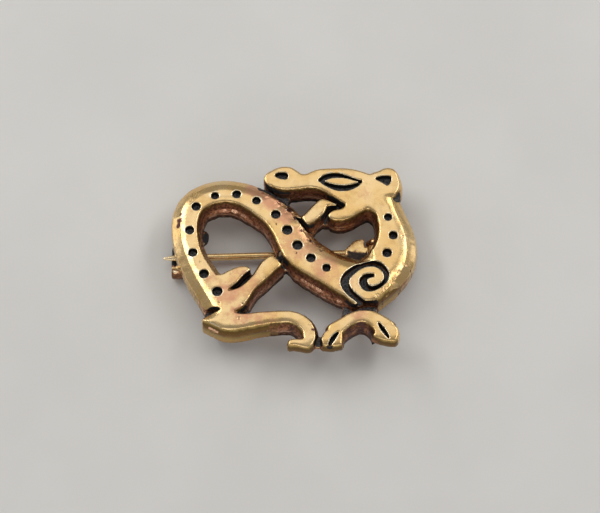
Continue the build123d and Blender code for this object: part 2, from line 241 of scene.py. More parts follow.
def relief_of(mesh):
    """Return the casting's top height at each cell of a grid, and a low value beside it."""
    corners = np.zeros(len(mesh.loops), int)
    mesh.loops.foreach_get("vertex_index", corners)
    starts = np.zeros(len(mesh.polygons), int)
    mesh.polygons.foreach_get("loop_start", starts)
    faces = [face.tolist() for face in np.split(corners, starts[1:])]
    tree = BVHTree.FromPolygons(points_of(mesh).tolist(), faces)
    heights = np.full((GRID_ROWS, GRID_COLUMNS), OUTSIDE)
    down = Vector((0, 0, -1))
    for row in range(GRID_ROWS):
        y = GRID_NEAR + (row + 0.5) * GRID
        for column in range(GRID_COLUMNS):
            start = Vector((GRID_LEFT + (column + 0.5) * GRID, y, RAY_START))
            place = tree.ray_cast(start, down, RAY_LENGTH)[0]
            if place is not None:
                heights[row, column] = place.z
    return heights


def heights_at(relief, x, y):
    column = np.clip(((x - GRID_LEFT) / GRID).astype(int), 0, GRID_COLUMNS - 1)
    row = np.clip(((y - GRID_NEAR) / GRID).astype(int), 0, GRID_ROWS - 1)
    return relief[row, column]


def sky_and_room(relief, points):
    """Return the share of sky that each point sees and the share of ways out that are free."""
    sky = np.zeros(len(points))
    room = np.zeros(len(points))
    for way in range(LOOKS_ROUND):
        angle = 2 * math.pi * (way + 0.5) / LOOKS_ROUND
        dx, dy = math.cos(angle), math.sin(angle)
        steepest = np.zeros(len(points))
        blocked = np.zeros(len(points), bool)
        for reach in LOOKS_OUT:
            there = heights_at(relief, points[:, 0] + dx * reach, points[:, 1] + dy * reach)
            rise = there - points[:, 2]
            steepest = np.maximum(steepest, rise / reach)
            blocked |= (rise > LEVEL_WITH) & (reach > OWN_EDGE)
        sky += 1 - steepest / np.sqrt(1 + steepest**2)
        room += ~blocked
    return sky / LOOKS_ROUND, room / LOOKS_ROUND


def distance_to(cells, reach):
    """Return each cell's distance from the nearest marked one, up to a reach."""
    distance = np.where(cells, 0.0, reach)
    for _ in range(int(reach / GRID)):
        for rows, columns in ((0, 1), (1, 0), (1, 1), (1, -1)):
            step = GRID * math.hypot(rows, columns)
            for sign in (1, -1):
                near = np.roll(distance, (sign * rows, sign * columns), (0, 1)) + step
                distance = np.minimum(distance, near)
    return distance


def away_from(cells, reach, points):
    """Return each point's distance from the nearest marked cell, up to a reach."""
    return heights_at(distance_to(cells, reach), points[:, 0], points[:, 1])


def marked_around(cells):
    """Return how many of the nine cells around each one are marked."""
    return sum(
        np.roll(cells, (row, column), (0, 1)).astype(int)
        for row in (-1, 0, 1)
        for column in (-1, 0, 1)
    )


def between(span, values):
    low, high = span
    return (values > low) & (values < high)


def slope_of(relief):
    return np.hypot(*np.gradient(relief, GRID))


def wide_shoulders(relief):
    """Mark the cells on the casting's wide outer shoulders, which fall at about 45 degrees."""
    cells = between(SHOULDER_SLOPES, slope_of(relief)) & between(SHOULDER_HEIGHTS, relief)
    return marked_around(cells) >= 8


def low_floors(relief):
    """Mark the level floors of the dots, grooves and webs, a little beyond their rims."""
    cells = (slope_of(relief) < FLOOR_SLOPE) & between(FLOOR_HEIGHTS, relief)
    return marked_around(cells) >= 1


# Materials

class Tree:
    """A material's nodes, made one call each."""

    def __init__(self, name):
        self.material = bpy.data.materials.new(name)
        self.material.use_nodes = True
        self.nodes = self.material.node_tree.nodes
        self.links = self.material.node_tree.links
        self.shader = self.nodes["Principled BSDF"]
        self.place = self.nodes.new("ShaderNodeTexCoord").outputs["Object"]

    def add(self, kind, inputs=(), **settings):
        node = self.nodes.new(kind)
        for key, value in settings.items():
            setattr(node, key, value)
        for key, value in dict(inputs).items():
            self.give(node.inputs[key], value)
        return node

    def give(self, socket, value):
        if isinstance(value, bpy.types.NodeSocket):
            self.links.new(value, socket)
        else:
            socket.default_value = value

    def mask(self, name):
        return self.add("ShaderNodeAttribute", attribute_name=name).outputs["Fac"]

    def noise(self, kind, stretch=None):
        """Return noise of a kind, drawn out along a turned axis if asked."""
        size, detail, roughness = kind
        place = self.place
        if stretch is not None:
            angle, shape = stretch
            mapping = self.add("ShaderNodeMapping", {"Vector": place})
            mapping.inputs["Rotation"].default_value = (0, 0, math.radians(angle))
            mapping.inputs["Scale"].default_value = shape
            place = mapping.outputs[0]
        found = self.add(
            "ShaderNodeTexNoise",
            {"Vector": place, "Scale": 1 / (size * MM), "Detail": detail, "Roughness": roughness},
        )
        return found.outputs["Fac"]

    def maths(self, operation, a, b=0.0, c=0.0):
        return self.add("ShaderNodeMath", {0: a, 1: b, 2: c}, operation=operation).outputs[0]

    def times(self, a, b):
        return self.maths("MULTIPLY", a, b)

    def plus(self, a, b):
        return self.maths("ADD", a, b)

    def most(self, a, b):
        return self.maths("MAXIMUM", a, b)

    def rest_of(self, share):
        return self.maths("SUBTRACT", 1.0, share)

    def ramp(self, value, low, high, start=0.0, end=1.0):
        """Map low..high to start..end, smoothly and clamped."""
        found = self.add(
            "ShaderNodeMapRange",
            {"Value": value, "From Min": low, "From Max": high, "To Min": start, "To Max": end},
            interpolation_type="SMOOTHSTEP",
        )
        return found.outputs["Result"]

    def mix(self, share, a, b):
        """Return a colour between two."""
        found = self.add("ShaderNodeMix", {0: share}, data_type="RGBA")
        self.give(found.inputs[6], a)
        self.give(found.inputs[7], b)
        return found.outputs[2]

    def blend(self, share, a, b):
        """Return a number between two."""
        found = self.add("ShaderNodeMix", {0: share, 2: a, 3: b}, data_type="FLOAT")
        return found.outputs[0]

    def scale(self, value, *stops):
        """Return the colour at a value on a row of stops, each a place and a colour."""
        found = self.add("ShaderNodeValToRGB", {"Fac": value})
        marks = found.color_ramp.elements
        while len(marks) < len(stops):
            marks.new(0.5)
        for mark, (place, colour) in zip(marks, stops):
            mark.position = place
            mark.color = colour
        return found.outputs["Color"]

    def bump(self, height, strength, distance, below=None):
        inputs = {"Height": height, "Strength": strength, "Distance": distance * MM}
        if below is not None:
            inputs["Normal"] = below
        return self.add("ShaderNodeBump", inputs).outputs["Normal"]


GOLD = (0.84, 0.55, 0.225, 1)
GOLD_PALE = (0.90, 0.65, 0.33, 1)
GOLD_DEEP = (0.66, 0.39, 0.13, 1)
OLIVE = (0.50, 0.34, 0.115, 1)
OLIVE_DARK = (0.16, 0.095, 0.03, 1)
BROWN_OLIVE = (0.24, 0.13, 0.05, 1)
COPPER = (0.74, 0.38, 0.22, 1)
COPPER_DARK = (0.62, 0.29, 0.165, 1)
UNDER_COPPER = (0.44, 0.21, 0.11, 1)
UNDER_BROWN = (0.20, 0.09, 0.05, 1)
RED_BROWN = (0.36, 0.155, 0.085, 1)
BLACK_BROWN = (0.07, 0.035, 0.022, 1)
PLUM = (0.13, 0.06, 0.05, 1)
SOOT = (0.013, 0.012, 0.013, 1)
SOOT_GREY = (0.15, 0.145, 0.15, 1)
# Pale gold for worn edges and for painted highlights
GLINT = (1.0, 0.86, 0.60, 1)
# Pale copper for bare copper and for painted copper highlights and glints
GLOW_COPPER = (1.0, 0.60, 0.40, 1)

# The walls' colours from the face, 0, down to the back, 1
# Outer walls that face the front: patina with painted shade
OUTER_WALL = (
    (0.03, GOLD),
    (0.10, OLIVE),
    (0.20, OLIVE_DARK),
    (0.42, BROWN_OLIVE),
    (0.62, OLIVE),
    (0.92, GOLD_DEEP),
)
INNER_WALL = (
    (0.05, OLIVE),
    (0.13, OLIVE_DARK),
    (0.26, RED_BROWN),
    (0.48, COPPER_DARK),
    (0.66, RED_BROWN),
    (0.84, BLACK_BROWN),
)

# Each noise: the size of its lumps in millimetres, its detail and its roughness
BROAD = (6.0, 2.0, 0.55)
MIDDLE = (1.3, 4.0, 0.55)
FINE = (0.25, 3.0, 0.55)
GRAIN = (0.45, 4.0, 0.6)
SCRATCH = (1.0, 2.0, 0.5)
# Each way of scratches: its turn in degrees and how much it is squeezed along x, y and z
SCRATCH_WAYS = ((31, (0.35, 9.0, 1.0)), (-58, (0.3, 8.0, 1.0)))
TINY_PITS_APART = 0.9

# The masks written on a piece: which noise breaks up the border, how much of it, and the span
# over which the mask then comes in
MASKS = {
    "wall": ("fine", 0.6, 0.30, 0.60),
    "inner": ("middle", 0.5, 0.30, 0.70),
    "recess": ("fine", 0.5, 0.30, 0.55),
    "floor": ("fine", 0.0, 0.40, 0.80),
    "under": ("middle", 1.0, 0.30, 0.70),
    "edge": ("middle", 0.5, 0.30, 0.65),
    "blush": ("both", 1.0, 0.25, 0.85),
    "stain_and_shade": ("both", 1.6, 0.45, 0.75),
    "shade": ("middle", 0.4, 0.30, 0.70),
    "copper_and_sheen": ("both", 0.8, 0.40, 0.65),
    "ragged": ("fine", 0.0, 0.10, 0.90),
}
# How much the noise stirs the colours that go by depth
DEPTH_STIR = 0.22

# Roughness of the metal, and how metallic its soot is
POLISHED, WORN = 0.22, 0.30
RAW_WALL, BRIGHT_WALL = 0.46, 0.22
TARNISHED = 0.36
SOOTED = 0.58
RUBBED_EDGE = 0.18
SOOT_METALLIC = 0.35


def brass(name):
    """Worn brass with painted highlights and shade, that reads the masks written on its piece."""
    t = Tree(name)
    broad, middle, fine, grain = (t.noise(kind) for kind in (BROAD, MIDDLE, FINE, GRAIN))
    stirs = {
        "middle": t.maths("MULTIPLY_ADD", middle, 0.9, -0.45),
        "fine": t.maths("MULTIPLY_ADD", fine, 0.5, -0.25),
    }
    stirs["both"] = t.plus(stirs["middle"], stirs["fine"])
    shown = {}
    for mask, (kind, share, low, high) in MASKS.items():
        broken = t.plus(t.mask(mask), t.times(stirs[kind], share))
        shown[mask] = t.ramp(broken, low, high)
    depth = t.plus(t.mask("depth"), t.times(stirs["both"], DEPTH_STIR))
    walled = t.times(shown["wall"], shown["inner"])

    # Faces
    face = t.mix(t.ramp(broad, 0.35, 0.65), GOLD, GOLD_PALE)
    face = t.mix(t.ramp(middle, 0.50, 0.75, 0.0, 0.45), face, GOLD_DEEP)
    face = t.mix(shown["blush"], face, COPPER)

    # Outer walls: gold, but olive and brown by depth in patina and painted shade where they face
    # the front
    lit_wall = t.mix(t.ramp(grain, 0.45, 0.65), GOLD, GOLD_PALE)
    outer_wall = t.mix(shown["shade"], lit_wall, t.scale(depth, *OUTER_WALL))

    # Inner walls, with dark pores, a broken painted highlight streak halfway down and painted
    # glints
    pores = t.times(t.ramp(grain, 0.52, 0.42), t.ramp(depth, 0.10, 0.30))
    inner_wall = t.mix(t.times(pores, 0.75), t.scale(depth, *INNER_WALL), BLACK_BROWN)
    # The streak is worn copper with a painted highlight on it
    highlight_streak = t.times(t.ramp(depth, 0.50, 0.60), t.ramp(depth, 0.74, 0.62))
    highlight_streak = t.times(highlight_streak, t.ramp(middle, 0.42, 0.54))
    glint = t.ramp(grain, 0.56, 0.68, 0.0, 0.8)
    painted_highlight = t.most(t.times(highlight_streak, 0.85), t.times(glint, 0.55))
    inner_wall = t.mix(painted_highlight, inner_wall, t.mix(highlight_streak, COPPER, GLOW_COPPER))
    colour = t.mix(shown["wall"], face, t.mix(shown["inner"], outer_wall, inner_wall))

    # Bare copper with painted highlights, ragged edges, the back's skin, stains, soot and rubbed
    # edges
    colour = t.mix(shown["copper_and_sheen"], colour, GLOW_COPPER)
    # Ragged copper spots with painted glints
    copper_glint_spots = t.times(shown["ragged"], t.ramp(grain, 0.54, 0.64))
    colour = t.mix(t.times(copper_glint_spots, 0.7), colour, GLOW_COPPER)
    hollows = t.times(shown["ragged"], t.ramp(grain, 0.44, 0.36))
    colour = t.mix(t.times(hollows, 0.6), colour, OLIVE_DARK)
    # The back's skin, with painted shade on the wire's underside
    back_skin_and_shade = t.mix(t.ramp(middle, 0.4, 0.65), UNDER_BROWN, UNDER_COPPER)
    colour = t.mix(shown["under"], colour, back_skin_and_shade)
    # Stains, and painted shade behind the plate
    colour = t.mix(shown["stain_and_shade"], colour, PLUM)
    # Soot, and painted shade behind the plate
    soot = t.mix(t.times(shown["floor"], t.ramp(fine, 0.35, 0.65)), SOOT, SOOT_GREY)
    colour = t.mix(shown["recess"], colour, soot)
    # Rubbed edges, brightened with painted highlights
    colour = t.mix(t.times(shown["edge"], 0.9), colour, GLINT)
    t.give(t.shader.inputs["Base Color"], colour)

    clean = t.rest_of(t.times(shown["recess"], t.rest_of(shown["edge"])))
    t.give(t.shader.inputs["Metallic"], t.ramp(clean, 0.0, 1.0, SOOT_METALLIC, 1.0))
    rough = t.blend(t.ramp(middle, 0.35, 0.7), POLISHED, WORN)
    rough_wall = t.blend(t.most(painted_highlight, shown["copper_and_sheen"]), RAW_WALL, BRIGHT_WALL)
    rough = t.blend(walled, rough, rough_wall)
    rough = t.blend(t.most(shown["blush"], shown["stain_and_shade"]), rough, TARNISHED)
    rough = t.blend(shown["recess"], rough, SOOTED)
    rough = t.blend(t.times(shown["edge"], 0.8), rough, RUBBED_EDGE)
    t.give(t.shader.inputs["Roughness"], rough)

    # Fine unevenness, two ways of scratches and tiny pits
    scratches = t.plus(
        t.ramp(t.noise(SCRATCH, SCRATCH_WAYS[0]), 0.66, 0.72),
        t.ramp(t.noise(SCRATCH, SCRATCH_WAYS[1]), 0.68, 0.73),
    )
    cells = t.add("ShaderNodeTexVoronoi", {"Vector": t.place, "Scale": 1 / (TINY_PITS_APART * MM)})
    pits = t.ramp(cells.outputs["Distance"], 0.04, 0.14)
    normal = t.bump(middle, 0.16, 0.10)
    normal = t.bump(fine, t.blend(walled, 0.10, 0.45), 0.05, normal)
    coarse = t.blend(t.most(walled, shown["ragged"]), 0.0, 0.80)
    normal = t.bump(grain, coarse, 0.16, normal)
    normal = t.bump(t.rest_of(scratches), 0.10, 0.015, normal)
    normal = t.bump(pits, 0.35, 0.03, normal)
    t.give(t.shader.inputs["Normal"], normal)
    return t.material


# Casting

# The line over which the head and the tail's root lie, while the body's shoulders are below it
BODY_TOP = [
    (-7.0, 15.0),
    (-6.3, 13.3),
    (-1.9, 10.6),
    (-0.3, 8.3),
    (0.3, 7.0),
    (1.5, 5.2),
    (3.0, 4.4),
    (12.6, 4.4),
    (13.0, 11.2),
    (17.5, 11.2),
]

# Patches: each row is a place on the drawing, a radius and a strength

# Copper-coloured blushes of the faces
BLUSH = [
    (0.4, 3.0, 5.0, 0.62),
    (4.2, -2.0, 4.0, 0.58),
    (8.0, -4.6, 3.0, 0.50),
    (-9.0, -4.6, 4.0, 0.55),
    (-6.0, -11.0, 3.4, 0.50),
    (6.0, 11.6, 3.0, 0.25),
    (-17.4, -1.0, 2.0, 0.25),
    (-7.4, 12.6, 2.6, 0.8),
    (-4.6, 10.4, 2.4, 1.0),
    (-2.4, 7.6, 2.4, 0.8),
    (-1.6, 4.4, 1.6, 0.4),
    (-12.0, -6.8, 3.0, 0.7),
    (-9.7, -10.6, 2.8, 0.7),
    (-14.6, -3.6, 1.8, 0.5),
    (-15.7, 8.2, 1.6, 0.3),
    (-0.6, 1.6, 1.6, 0.3),
    (10.8, 11.8, 2.2, 0.4),
    (9.0, 14.9, 1.2, 0.4),
    (9.6, -10.2, 2.2, 0.6),
    (3.0, -12.0, 1.6, 0.4),
    (16.6, 4.0, 2.0, 0.3),
]
# Sooty webs, corners and crossings
SOOTY = [
    (-6.3, 13.3, 0.8, 1.0),
    (-5.4, 12.9, 0.9, 1.0),
    (-4.5, 12.4, 1.0, 1.0),
    (-3.6, 11.9, 1.1, 1.0),
    (-2.7, 11.3, 1.1, 1.0),
    (-1.9, 10.7, 1.0, 1.0),
    (16.0, 11.3, 0.8, 1.0),
    (16.6, 11.8, 0.6, 1.0),
    (-3.3, 0.8, 0.8, 1.0),
    (-2.8, 0.1, 0.8, 1.0),
    (-2.3, -0.7, 0.8, 1.0),
    (-10.0, -9.5, 0.7, 1.0),
    (-9.2, -9.4, 0.9, 1.0),
    (-8.3, -9.2, 0.9, 1.0),
    (-14.0, -9.5, 0.8, 1.0),
    (-14.9, -9.7, 0.8, 0.9),
    (9.2, -9.2, 0.7, 0.8),
]
# Small dents
PITS = [
    (-9.9, -11.2, 0.22, 1.0),
    (-13.1, -8.4, 0.16, 0.8),
    (-9.4, -8.6, 0.15, 0.8),
    (-3.9, 6.0, 0.17, 0.8),
    (-0.6, 0.7, 0.18, 0.9),
    (-16.4, -1.0, 0.12, 0.7),
    (16.9, 3.9, 0.13, 0.8),
    (-11.4, -3.1, 0.14, 0.7),
    (-12.5, -3.0, 0.16, 0.8),
    (9.2, 11.6, 0.12, 0.6),
    (15.6, 9.6, 0.12, 0.6),
    (6.2, -4.3, 0.12, 0.6),
]
# Walls with copper lines of light
GLOWS = [
    (0.8, -3.2, 1.1, 1.0),
    (2.1, -4.1, 1.1, 1.0),
    (3.4, -4.9, 1.1, 1.0),
    (4.8, -5.9, 0.9, 0.7),
    (6.6, -7.0, 1.0, 0.9),
    (8.1, -7.8, 0.9, 0.9),
    (6.2, 6.2, 0.9, 0.9),
    (7.4, 6.4, 0.9, 1.0),
    (8.5, 7.0, 0.9, 1.0),
    (-12.6, 9.1, 1.0, 0.9),
    (-10.9, 9.1, 1.0, 1.0),
    (-9.3, 8.5, 1.0, 0.9),
    (-6.2, -5.2, 0.9, 0.9),
    (-7.3, -6.4, 0.9, 0.9),
    (-8.2, -7.6, 0.9, 0.8),
    (-5.0, -12.3, 1.0, 0.7),
    (-3.2, -12.2, 0.9, 0.6),
    (2.0, 12.6, 1.0, 0.5),
]
# Rough, spotted edges and walls; their copper spots carry painted glints
RAGGED = [
    (-6.4, 12.8, 1.2, 0.6),
    (-4.9, 11.9, 1.4, 0.9),
    (-3.2, 10.6, 1.4, 1.0),
    (-1.8, 9.1, 1.3, 1.0),
    (-0.6, 7.4, 1.2, 0.9),
    (0.6, 5.4, 1.0, 0.8),
    (1.9, 3.4, 1.0, 0.8),
    (3.4, 1.9, 1.0, 0.7),
    (17.2, -1.4, 0.5, 0.7),
    (16.2, -2.5, 0.5, 0.8),
    (15.5, -3.5, 0.5, 0.8),
    (14.8, -4.5, 0.5, 0.9),
    (13.7, -5.8, 0.6, 1.0),
    (12.4, -7.0, 0.6, 1.0),
    (-15.9, 2.2, 0.9, 0.8),
    (-15.2, 0.3, 0.9, 0.8),
    (-13.9, -1.5, 0.9, 0.8),
]
# Walls made darker in broken patches
DARK_WALLS = [
    (9.8, -11.8, 1.6, 0.75),
    (7.8, -13.0, 1.2, 0.70),
    (11.7, -13.0, 1.2, 0.75),
    (-3.9, -12.2, 1.4, 0.45),
    (-0.9, -12.5, 1.4, 0.60),
    (0.6, -13.4, 1.0, 0.65),
    (-5.6, -4.9, 1.2, 0.42),
    (-7.0, -6.8, 1.2, 0.42),
    (9.4, -8.4, 1.4, 0.50),
]
# Open outer walls, where the shut-in colours don't reach
OPEN_WALLS = [
    (15.2, -5.8, 1.8, 1.0),
    (13.6, -7.6, 1.5, 1.0),
    (-9.4, -13.0, 1.6, 1.0),
    (-7.6, -12.8, 1.6, 0.95),
    (-5.8, -12.5, 1.4, 0.75),
    (-4.2, -12.3, 1.2, 0.45),
]
# Small painted glints
GLINTS = [
    (-3.2, 0.9, 0.35, 1.0),
    (-3.0, -0.3, 0.3, 0.9),
    (-2.4, -1.4, 0.35, 0.8),
    (5.6, -9.2, 0.3, 0.7),
]
# Pinkish walls
PINK_WALLS = [
    (-16.1, 3.3, 1.0, 0.8),
    (-15.8, 1.9, 1.0, 1.0),
    (-15.3, 0.5, 1.0, 1.0),
    (-14.6, -0.8, 1.0, 1.0),
    (-13.5, -1.9, 1.0, 0.9),
    (-1.4, 9.2, 1.2, 0.8),
    (0.9, 5.4, 1.0, 0.7),
    (2.6, 2.8, 1.0, 0.7),
]
# The nick in the haunch's wall
NICK = [
    (-14.5, -12.3, 0.5, 1.0),
    (-14.0, -12.6, 0.6, 1.0),
    (-13.4, -12.8, 0.5, 1.0),
]
# Edges worn to a wider round; the strength is in millimetres
ROUNDED = [
    (-16.4, 7.5, 1.5, 0.28),
    (-16.8, 5.4, 1.5, 0.32),
    (-16.8, 3.2, 1.5, 0.32),
    (-16.2, 1.0, 1.5, 0.30),
    (-6.0, 6.8, 1.4, 0.26),
    (-5.0, 5.2, 1.5, 0.32),
    (-4.2, 3.4, 1.5, 0.32),
    (-3.3, 1.4, 1.3, 0.26),
    (12.7, 7.0, 1.3, 0.26),
    (13.0, 5.2, 1.3, 0.30),
    (13.0, 3.4, 1.3, 0.30),
    (12.8, 1.8, 1.3, 0.30),
    (11.7, 0.4, 1.2, 0.28),
    (-15.2, -12.0, 1.4, 0.30),
    (-13.4, -12.8, 1.5, 0.36),
    (-11.4, -13.1, 1.5, 0.36),
    (-9.2, -12.9, 1.5, 0.36),
    (-7.2, -12.6, 1.5, 0.34),
    (-5.2, -12.2, 1.5, 0.30),
    (-3.2, -11.9, 1.4, 0.26),
    (-1.2, -12.2, 1.3, 0.22),
]
# Walls that step outward halfway down; the strength is in millimetres
STEPPED = [
    (-15.4, 7.4, 1.6, 0.30),
    (-14.0, 8.6, 1.7, 0.45),
    (-12.4, 9.1, 1.7, 0.50),
    (-10.8, 9.0, 1.7, 0.50),
    (-9.2, 8.4, 1.7, 0.45),
    (-7.9, 7.3, 1.5, 0.25),
    (-0.2, -2.6, 1.6, 0.35),
    (1.2, -3.4, 1.8, 0.50),
    (2.8, -4.5, 1.8, 0.55),
    (4.4, -5.5, 1.8, 0.55),
    (6.0, -6.5, 1.8, 0.45),
    (7.6, -7.4, 1.4, 0.25),
]
# Painted shade on the end of the catch's pad and on the upper part of the catch
DARK_BEHIND = [
    (-15.4, 5.3, 1.2, 1.0),
    (-15.4, 3.8, 1.0, 0.8),
    (-20.7, 4.0, 1.2, 1.0),
    (-20.6, 2.4, 1.2, 1.0),
    (-19.2, 1.8, 1.0, 1.0),
]
# A painted highlight on the lower part of the catch
BRIGHT_BEHIND = [
    (-20.6, -0.1, 0.8, 1.0),
]
# Plum-coloured stains
STAINS = [
    (-6.6, 13.4, 0.9, 0.9),
    (-4.9, 12.3, 0.9, 0.9),
    (-3.2, 11.0, 0.9, 1.0),
    (-1.7, 9.2, 0.8, 1.0),
    (-0.7, 7.4, 0.7, 0.9),
    (0.4, 5.0, 0.6, 0.8),
    (1.7, 3.2, 0.6, 0.8),
    (3.4, 1.4, 0.5, 0.6),
    (-20.0, 6.0, 0.5, 1.0),
    (-19.9, 7.0, 0.6, 1.0),
    (-19.7, 8.0, 0.5, 0.9),
    (13.3, -7.3, 0.5, 0.7),
    (12.5, -8.1, 0.6, 0.8),
    (16.2, -5.0, 0.6, 0.6),
    (1.6, -12.3, 0.5, 0.7),
    (2.1, -13.1, 0.5, 0.8),
    (2.6, -13.9, 0.5, 0.7),
    (18.2, -2.0, 0.5, 0.6),
]

# Roundness: the rounding of shoulders beside a cut, the drop and reach of the wide shoulders, the
# crown of faces beside an edge, the bulge of the walls and the rounding of the catch and hinge
NARROW_ROUND = 0.20
WIDE_DROP = 1.6
WIDE_REACH = 4.4
CROWN = 0.12
BULGE = 0.14
BEHIND_ROUND = 0.35
SOFT_ROUNDS = 12
SOFTER_ROUNDS = 30

# Unevenness: its height, wave length and number of waves
CAST_WAVES = (0.022, 5.0, 12)
CAST_RIPPLES = (0.008, 1.6, 16)
WALL_WAVES = (0.02, 0.9, 20)
RAGGED_WAVES = (0.04, 0.6, 24)
PIT_DEPTH = 0.12
NICK_DEPTH = 0.16
NICK_FOOT = (2.2, 2.5)

# Spans of height over which a part of the casting begins or ends
BEHIND = (-0.3, 0.0)
PLATE = (-0.3, 0.3)
WALL_FOOT = (-0.1, 0.2)
LOW_WALL = (0.6, 2.0)
STEP_FACE = (1.9, 2.6)
ROUND_TOP = (FACE - 2.2, FACE - 1.2)
STEP_TOP = (FACE - 1.3, FACE - 0.9)
HIGH = (FACE - 1.2, FACE - 0.6)
FLOOR_TOP = (FACE - 1.0, FACE - 0.7)
MARKS_TOP = (FACE - 0.7, FACE - 0.3)
GROOVE_WALL_FOOT = (FACE - 1.3, FACE - 1.0)
GROOVE_WALL_TOP = (FACE - 0.3, FACE - 0.12)
PAD_TOP = (1.2, 1.6)
CATCH_TOP = (-0.3, -0.1)
NICK_TOP = (2.9, 3.1)
GLINT_FOOT = (1.4, 1.7)

# Heights below which the relief counts as open, as web, or as cut
OPEN_BELOW = WEB_HEIGHT - 0.2
WEB_BELOW = WEB_HEIGHT + 0.2
CUT_BELOW = FACE - 0.9
WORN_BELOW = FACE - 1.3

# Spans of distance from a cut, a wide shoulder or the body's line
RIM_WIDTH = (0.16, 0.34)
GROOVE_WALL_WIDTH = (0.15, 0.45)
ROUND_WIDTH = (0.3, 0.8)
CROWN_WIDTH = (0.0, 1.6)
WORN_WIDTH = 1.3
WIDE_WIDTH = (1.4, 3.1)
BODY_LINE = (0, 0.3)

# Spans of the normal's upward part: walls are below theirs and floors above theirs
ROUND_WALL = (0.3, 0.8)
WALL_UP = (0.30, 0.75)
FLOOR_UP = (0.5, 0.9)
FACE_UP = (0.3, 0.8)
RIM_UP = (0.8, 0.95)
LEANING = (0.2, 0.5)
FACING_FRONT = (0.3, 0.8)
SHADED_FRONT = (0.25, 0.75)

# Spans of the free ways out, the hidden sky, the steps and how proud an edge stands
SHUT_IN = (0.30, 0.50)
IN_A_GROOVE = (0.45, 0.65)
NARROW = (0.72, 0.90)
STEPPED_FROM = (0.02, 0.15)
PROUD = (0.05, 0.17)
PROUD_WIRE = (0.05, 0.15)

# Strength of the marks that the masks write
NICK_COLOUR = 0.76
GLOW_HEIGHTS = (2.35, 1.45)
GLOW_COLOUR = 0.75
PINK_COLOUR = 0.7
BACK_COLOUR = 0.8
GLINT_COLOUR = 0.8


def on_wide_shoulder(points, relief, pairs):
    """Return the share to which each point lies on a wide outer shoulder of the body."""
    x, y = points[:, 0], points[:, 1]
    wide = falling(*WIDE_WIDTH, away_from(wide_shoulders(relief), 3.2, points))
    above_body = y - np.interp(x, *np.transpose(BODY_TOP))
    return smoothed(wide * falling(*BODY_LINE, above_body), pairs, 12)


def softened(sharp, relief, pairs):
    """Return the points with the edges beside a cut and everything behind the back rounded."""
    height = sharp[:, 2]
    near_cut = falling(*ROUND_WIDTH, away_from(relief < WEB_BELOW, 1.0, sharp))
    shoulder = smoothed(near_cut * rising(*LOW_WALL, height), pairs, 4)
    behind = falling(*BEHIND, height)
    soft = smoothed(sharp, pairs, SOFT_ROUNDS)
    softer = smoothed(soft, pairs, SOFTER_ROUNDS)
    points = sharp + shoulder[:, None] * capped(soft - sharp, NARROW_ROUND)
    return points + behind[:, None] * capped(softer - sharp, BEHIND_ROUND)


def drop_of_faces(points, sharp, relief, wide, pairs):
    """Return how far the faces sink: crowned at cuts, round on wide shoulders, worn at edges."""
    top = rising(*ROUND_TOP, sharp[:, 2])
    inside = away_from(relief < OPEN_BELOW, WIDE_REACH, sharp)
    crown = CROWN * falling(*CROWN_WIDTH, inside) * top
    round_off = FACE - WIDE_DROP * np.clip(1 - inside / WIDE_REACH, 0, 1) ** 3
    drop = np.maximum(crown, wide * np.maximum(points[:, 2] - round_off, 0) * top)
    from_edge = away_from(relief < WORN_BELOW, 1.4, sharp) / WORN_WIDTH
    worn = patches(ROUNDED, points) * np.clip(1 - from_edge, 0, 1) ** 2 * top
    return smoothed(drop, pairs, 10) + smoothed(worn, pairs, 2)


def bulge_of_walls(points, wide, pairs):
    """Return how far the walls swell out, with a step halfway down where they have one."""
    height = points[:, 2]
    bulge = BULGE * np.sin(math.pi * np.clip(height / (FACE - 0.5), 0, 1))
    bulge *= np.maximum(wide, 0.35)
    bulge += patches(STEPPED, points) * falling(*STEP_FACE, height)
    return smoothed(bulge * rising(*WALL_FOOT, height), pairs, 1)


def shape_casting(mesh, relief):
    """Round the shoulders, crown the faces and add the unevenness of a cast."""
    pairs = edges_of(mesh)
    sharp = smoothed(points_of(mesh), pairs, STEP_ROUNDS)
    wide = on_wide_shoulder(sharp, relief, pairs)
    points = softened(sharp, relief, pairs)
    points[:, 2] -= drop_of_faces(points, sharp, relief, wide, pairs)
    write_points(mesh, points)
    normals = normals_of(mesh)
    wall = falling(*ROUND_WALL, normals[:, 2])
    points += (wall * bulge_of_walls(points, wide, pairs))[:, None] * normals * [1, 1, 0]
    shares = (1, 1, wall, patches(RAGGED, points))
    kinds = (CAST_WAVES, CAST_RIPPLES, WALL_WAVES, RAGGED_WAVES)
    uneven = np.zeros(len(points))
    for step, (share, (size, length, count)) in enumerate(zip(shares, kinds)):
        uneven += size * share * waves(points, length, count, SEED + step)
    top = rising(*ROUND_TOP, sharp[:, 2])
    uneven -= PIT_DEPTH * patches(PITS, points) * top
    uneven -= NICK_DEPTH * patches(NICK, points) * wall * rising(*NICK_FOOT, points[:, 2])
    write_points(mesh, points + normals * uneven[:, None])


